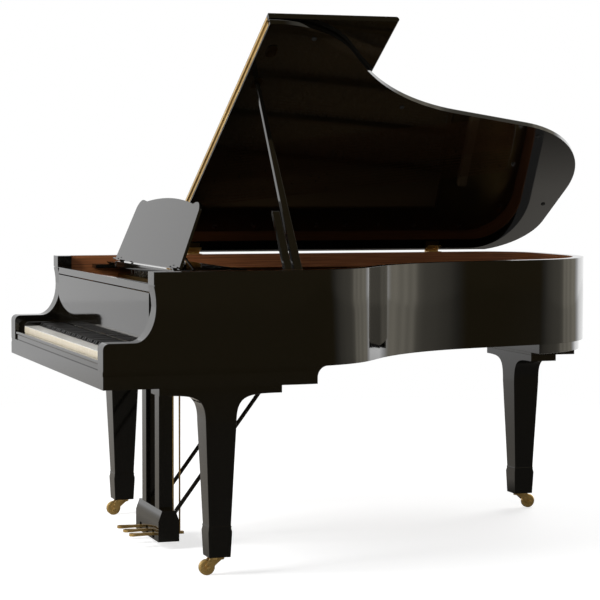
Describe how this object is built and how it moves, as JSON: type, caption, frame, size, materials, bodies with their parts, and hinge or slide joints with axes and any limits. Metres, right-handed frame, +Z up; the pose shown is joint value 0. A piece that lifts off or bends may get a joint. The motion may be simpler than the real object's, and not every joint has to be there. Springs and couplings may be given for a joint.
{
  "type": "grand piano",
  "caption": "Black lacquered grand piano with propped lid, folded front flap, music desk, tapered legs on casters and a pedal lyre.",
  "frame": {"origin": "on the floor, under the middle of the piano's box with the lid up", "axes": "+Z up, -Y towards the player, +Y towards the tail, +X towards the treble side"},
  "size_m": [1.5046, 2.097, 1.8037],
  "materials": {
    "black_lacquer": "high-gloss black polyester lacquer",
    "mahogany": "satin mahogany veneer",
    "spruce": "varnished spruce",
    "maple": "bare hard maple",
    "gold_iron": "gold bronze paint on cast iron",
    "steel": "drawn steel",
    "damper_black": "black satin with white felt",
    "ivory": "satin ivory-white key covering",
    "ebony": "matt black",
    "rubber": "soft black rubber",
    "brass": "polished brass"
  },
  "bodies": {
    "case": {"rim": "black_lacquer", "inner_rim": "mahogany", "keybed": "black_lacquer", "frame_beams": "spruce", "tail_board": "black_lacquer", "soundboard": "spruce", "bridges": "maple", "plate": "gold_iron", "pin_block": "maple", "tuning_pins": "steel", "strings": "steel", "key_slip": "black_lacquer", "cheek_blocks": "black_lacquer", "stretcher": "black_lacquer", "desk_rails": "black_lacquer", "lid_hinge_rim_leaves": "brass", "prop_bracket": "brass", "left_leg": "black_lacquer", "right_leg": "black_lacquer", "rear_leg": "black_lacquer", "lyre_posts": "black_lacquer", "lyre_box": "black_lacquer", "lyre_braces": "black_lacquer"},
    "lid": {"lid": "black_lacquer", "lid_hinge_lid_leaves": "brass", "flap_hinge_lid_leaf": "brass", "prop_cups": "brass", "lid_bumpers": "rubber"},
    "lid_flap": {"lid_flap": "black_lacquer", "flap_hinge_flap_leaf": "brass"},
    "lid_prop": {"lid_prop": "black_lacquer"},
    "short_prop": {"short_prop": "black_lacquer"},
    "desk_shelf": {"desk_shelf": "black_lacquer"},
    "desk_panel": {"desk_panel": "black_lacquer"},
    "desk_strut": {"desk_strut": "black_lacquer"},
    "fallboard": {"fallboard": "black_lacquer"},
    "dampers": {"dampers": "damper_black"},
    "action": {"action_frame": "maple", "white_keys": "ivory", "black_keys": "ebony", "hammers": "maple"},
    "left_caster_fork": {"left_caster_fork": "brass"},
    "left_caster_wheel": {"left_caster_wheel": "brass"},
    "right_caster_fork": {"right_caster_fork": "brass"},
    "right_caster_wheel": {"right_caster_wheel": "brass"},
    "rear_caster_fork": {"rear_caster_fork": "brass"},
    "rear_caster_wheel": {"rear_caster_wheel": "brass"},
    "left_pedal": {"left_pedal": "brass"},
    "left_pedal_rod": {"left_pedal_rod": "brass"},
    "middle_pedal": {"middle_pedal": "brass"},
    "middle_pedal_rod": {"middle_pedal_rod": "brass"},
    "right_pedal": {"right_pedal": "brass"},
    "right_pedal_rod": {"right_pedal_rod": "brass"},
    "key_c": {"key_c": "ivory"},
    "key_c_sharp": {"key_c_sharp": "ebony"},
    "key_d": {"key_d": "ivory"},
    "key_d_sharp": {"key_d_sharp": "ebony"},
    "key_e": {"key_e": "ivory"},
    "key_f": {"key_f": "ivory"}
  },
  "joints": [
    {"name": "lid_hinge", "type": "hinge", "parent": "case", "child": "lid", "pos_m": [-0.73419, -1.04851, 0.979], "axis": [0, -1, 0], "range_deg": [0, 50]},
    {"name": "flap_hinge", "type": "hinge", "parent": "lid", "child": "lid_flap", "pos_m": [-0.11141, -0.4445, 1.39126], "axis": [0.8508, 0, 0.5255], "range_deg": [0, 180]},
    {"name": "prop_fold", "type": "hinge", "parent": "case", "child": "lid_prop", "pos_m": [0.68831, -0.3935, 0.962], "axis": [0, 1, 0], "range_deg": [-55.05, 0]},
    {"name": "short_prop_fold", "type": "hinge", "parent": "case", "child": "short_prop", "pos_m": [0.68831, -0.42651, 0.962], "axis": [0, 1, 0], "range_deg": [-55.05, 0]},
    {"name": "desk_slide", "type": "slide", "parent": "case", "child": "desk_shelf", "axis": [0, 1, 0], "range_m": [-0.1, 0]},
    {"name": "desk_tilt", "type": "hinge", "parent": "desk_shelf", "child": "desk_panel", "pos_m": [0.01231, -0.7165, 0.974], "axis": [-1, 0, 0], "range_deg": [0, 68.5]},
    {"name": "desk_strut_fold", "type": "hinge", "parent": "desk_panel", "child": "desk_strut", "pos_m": [0.01231, -0.69769, 1.01495], "axis": [-1, 0, 0], "range_deg": [-122, 0.5]},
    {"name": "fallboard_hinge", "type": "hinge", "parent": "case", "child": "fallboard", "pos_m": [0.01231, -0.8785, 0.747], "axis": [1, 0, 0], "range_deg": [0, 90]},
    {"name": "dampers_lift", "type": "slide", "parent": "case", "child": "dampers", "axis": [0, 0, 1], "range_m": [-0.0002, 0.0052]},
    {"name": "action_shift", "type": "slide", "parent": "case", "child": "action", "axis": [1, 0, 0], "range_m": [0, 0.0025]},
    {"name": "left_caster_swivel", "type": "hinge", "parent": "case", "child": "left_caster_fork", "pos_m": [-0.61769, -0.65151, 0.06], "axis": [0, 0, 1], "continuous": true},
    {"name": "left_wheel_roll", "type": "hinge", "parent": "left_caster_fork", "child": "left_caster_wheel", "pos_m": [-0.61769, -0.68551, 0.026], "axis": [1, 0, 0], "continuous": true},
    {"name": "right_caster_swivel", "type": "hinge", "parent": "case", "child": "right_caster_fork", "pos_m": [0.64231, -0.65151, 0.06], "axis": [0, 0, 1], "continuous": true},
    {"name": "right_wheel_roll", "type": "hinge", "parent": "right_caster_fork", "child": "right_caster_wheel", "pos_m": [0.64231, -0.68551, 0.026], "axis": [1, 0, 0], "continuous": true},
    {"name": "rear_caster_swivel", "type": "hinge", "parent": "case", "child": "rear_caster_fork", "pos_m": [-0.29769, 0.84549, 0.06], "axis": [0, 0, 1], "continuous": true},
    {"name": "rear_wheel_roll", "type": "hinge", "parent": "rear_caster_fork", "child": "rear_caster_wheel", "pos_m": [-0.29769, 0.8795, 0.026], "axis": [1, 0, 0], "continuous": true},
    {"name": "left_pedal_press", "type": "hinge", "parent": "case", "child": "left_pedal", "pos_m": [-0.07369, -0.68851, 0.0465], "axis": [1, 0, 0], "range_deg": [-0.3, 7.3], "stiffness_Nm_per_rad": 8, "springref_deg": -14.32},
    {"name": "left_pedal_rod_lift", "type": "slide", "parent": "case", "child": "left_pedal_rod", "axis": [0, 0, 1], "range_m": [-0.0002, 0.0084]},
    {"name": "middle_pedal_press", "type": "hinge", "parent": "case", "child": "middle_pedal", "pos_m": [0.01231, -0.68851, 0.0465], "axis": [1, 0, 0], "range_deg": [0, 7], "stiffness_Nm_per_rad": 8, "springref_deg": -14.32},
    {"name": "middle_pedal_rod_lift", "type": "slide", "parent": "case", "child": "middle_pedal_rod", "axis": [0, 0, 1], "range_m": [-0.0002, 0.0084]},
    {"name": "right_pedal_press", "type": "hinge", "parent": "case", "child": "right_pedal", "pos_m": [0.09831, -0.68851, 0.0465], "axis": [1, 0, 0], "range_deg": [0, 7], "stiffness_Nm_per_rad": 8, "springref_deg": -14.32},
    {"name": "right_pedal_rod_lift", "type": "slide", "parent": "case", "child": "right_pedal_rod", "axis": [0, 0, 1], "range_m": [-0.0002, 0.0084]},
    {"name": "key_c_press", "type": "hinge", "parent": "action", "child": "key_c", "pos_m": [-0.04644, -0.79851, 0.697], "axis": [1, 0, 0], "range_deg": [0, 2.5], "stiffness_Nm_per_rad": 1.5, "springref_deg": -17.19},
    {"name": "key_c_sharp_press", "type": "hinge", "parent": "action", "child": "key_c_sharp", "pos_m": [-0.03681, -0.79851, 0.697], "axis": [1, 0, 0], "range_deg": [0, 2.5], "stiffness_Nm_per_rad": 1.5, "springref_deg": -17.19},
    {"name": "key_d_press", "type": "hinge", "parent": "action", "child": "key_d", "pos_m": [-0.02294, -0.79851, 0.697], "axis": [1, 0, 0], "range_deg": [0, 2.5], "stiffness_Nm_per_rad": 1.5, "springref_deg": -17.19},
    {"name": "key_d_sharp_press", "type": "hinge", "parent": "action", "child": "key_d_sharp", "pos_m": [-0.00908, -0.79851, 0.697], "axis": [1, 0, 0], "range_deg": [0, 2.5], "stiffness_Nm_per_rad": 1.5, "springref_deg": -17.19},
    {"name": "key_e_press", "type": "hinge", "parent": "action", "child": "key_e", "pos_m": [0.00056, -0.79851, 0.697], "axis": [1, 0, 0], "range_deg": [0, 2.5], "stiffness_Nm_per_rad": 1.5, "springref_deg": -17.19},
    {"name": "key_f_press", "type": "hinge", "parent": "action", "child": "key_f", "pos_m": [0.02406, -0.79851, 0.697], "axis": [1, 0, 0], "range_deg": [0, 2.5], "stiffness_Nm_per_rad": 1.5, "springref_deg": -17.19}
  ],
  "couplings": [
    {"joint": "desk_strut_fold", "follows": "desk_tilt", "ratio": -1.7737},
    {"joint": "dampers_lift", "follows": "right_pedal_press", "m_per_rad": 0.03929},
    {"joint": "left_pedal_press", "follows": "action_shift", "rad_per_m": 48.869},
    {"joint": "left_pedal_rod_lift", "follows": "action_shift", "ratio": 3.2254},
    {"joint": "middle_pedal_rod_lift", "follows": "middle_pedal_press", "m_per_rad": 0.066},
    {"joint": "right_pedal_rod_lift", "follows": "right_pedal_press", "m_per_rad": 0.066}
  ]
}
